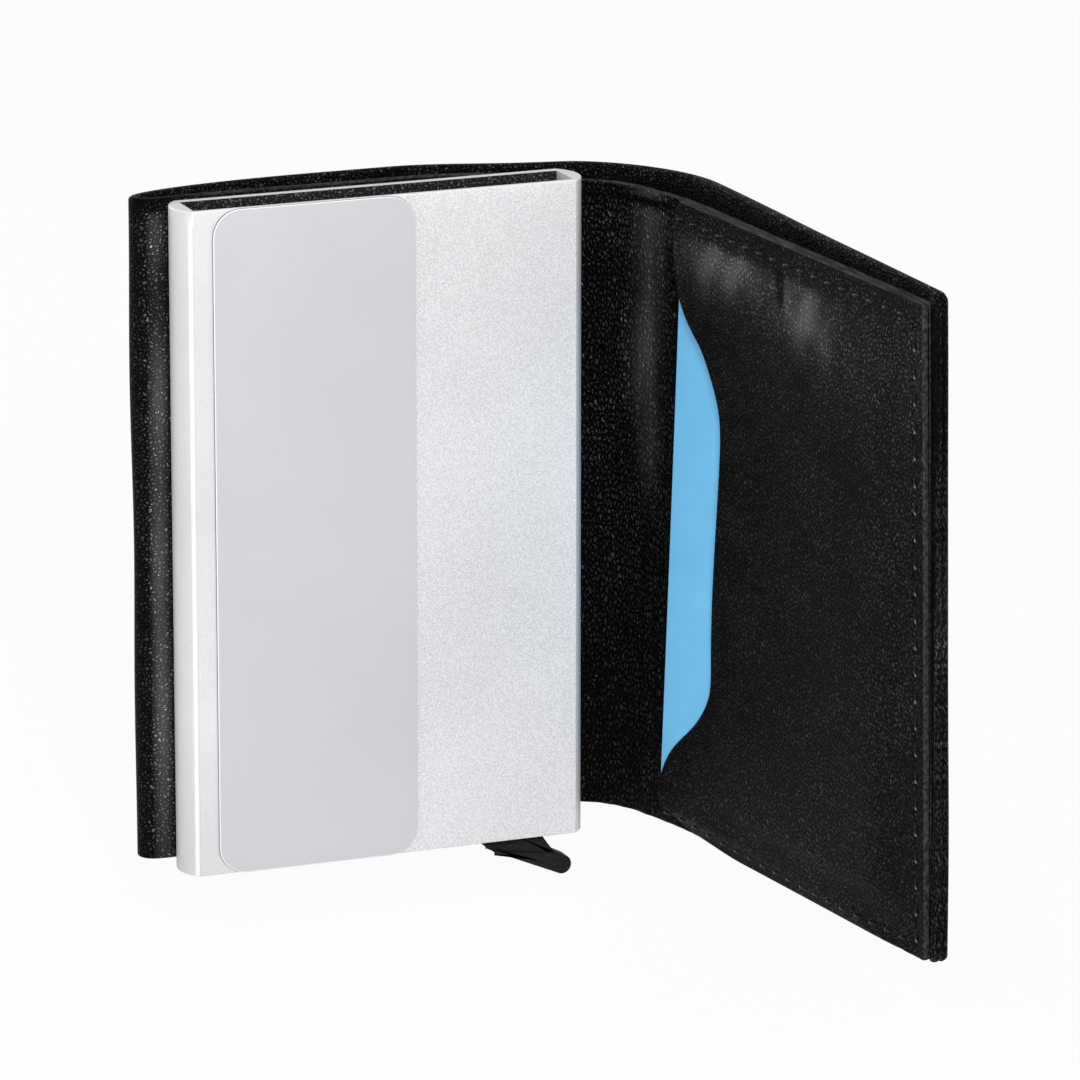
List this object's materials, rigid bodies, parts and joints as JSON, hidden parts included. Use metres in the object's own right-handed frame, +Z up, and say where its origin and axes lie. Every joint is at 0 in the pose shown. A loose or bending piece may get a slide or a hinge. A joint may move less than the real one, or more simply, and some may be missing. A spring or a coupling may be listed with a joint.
{
  "type": "card wallet",
  "caption": "Leather bifold wrap around a flat aluminium card case with a finger lever that lifts the cards, standing open on its end.",
  "frame": {"origin": "middle of the flat outer face of the back cover, at half the height of the case and in line with the middle of its width", "axes": "+Z up along the card direction, +Y out of the back cover, +X along the case towards the spine"},
  "size_m": [0.0863, 0.0913, 0.1021],
  "materials": {
    "case_aluminium": "bead-blasted satin, polished rim",
    "plate_satin": "smooth satin grey",
    "pad_foam": "matt black foam",
    "nylon_black": "matt black",
    "pin_steel": "ground",
    "bond_tape": "adhesive sheet",
    "leather_grain": "fine pebble grain, soft sheen",
    "leather_smooth": "smooth, soft sheen, painted edges",
    "card_blue": "plain sky blue, satin"
  },
  "bodies": {
    "back": {"case_shell": "case_aluminium", "front_plate": "plate_satin", "front_pad": "pad_foam", "rear_pad": "pad_foam", "end_cap": "nylon_black", "lever_pin": "pin_steel", "bond_sheet": "bond_tape", "back_cover": "leather_grain", "lining_tail": "leather_smooth", "cover_crease_back": "leather_grain", "lining_crease_back": "leather_smooth"},
    "lever": {"eject_lever": "nylon_black"},
    "spine": {"spine_cover": "leather_grain", "spine_lining": "leather_smooth", "cover_crease_flap": "leather_grain", "lining_crease_flap": "leather_smooth"},
    "flap": {"flap_cover": "leather_grain", "flap_end_bead": "leather_grain", "flap_lining": "leather_smooth", "pocket_front": "leather_smooth", "pocket_card": "card_blue"}
  },
  "joints": [
    {"name": "back_crease", "type": "hinge", "parent": "back", "child": "spine", "pos_m": [0.03432, -0.0018, 0], "axis": [0, 0, 1], "range_deg": [-32, 57], "deforming": ["cover_crease_back", "lining_crease_back"]},
    {"name": "flap_crease", "type": "hinge", "parent": "spine", "child": "flap", "pos_m": [0.04631, -0.02048, 0], "axis": [0, 0, 1], "range_deg": [-64, 28], "deforming": ["cover_crease_flap", "lining_crease_flap"]},
    {"name": "lever_pivot", "type": "hinge", "parent": "back", "child": "lever", "pos_m": [0.01952, -0.01285, -0.0443], "axis": [0, 1, 0], "range_deg": [0, 35]}
  ]
}
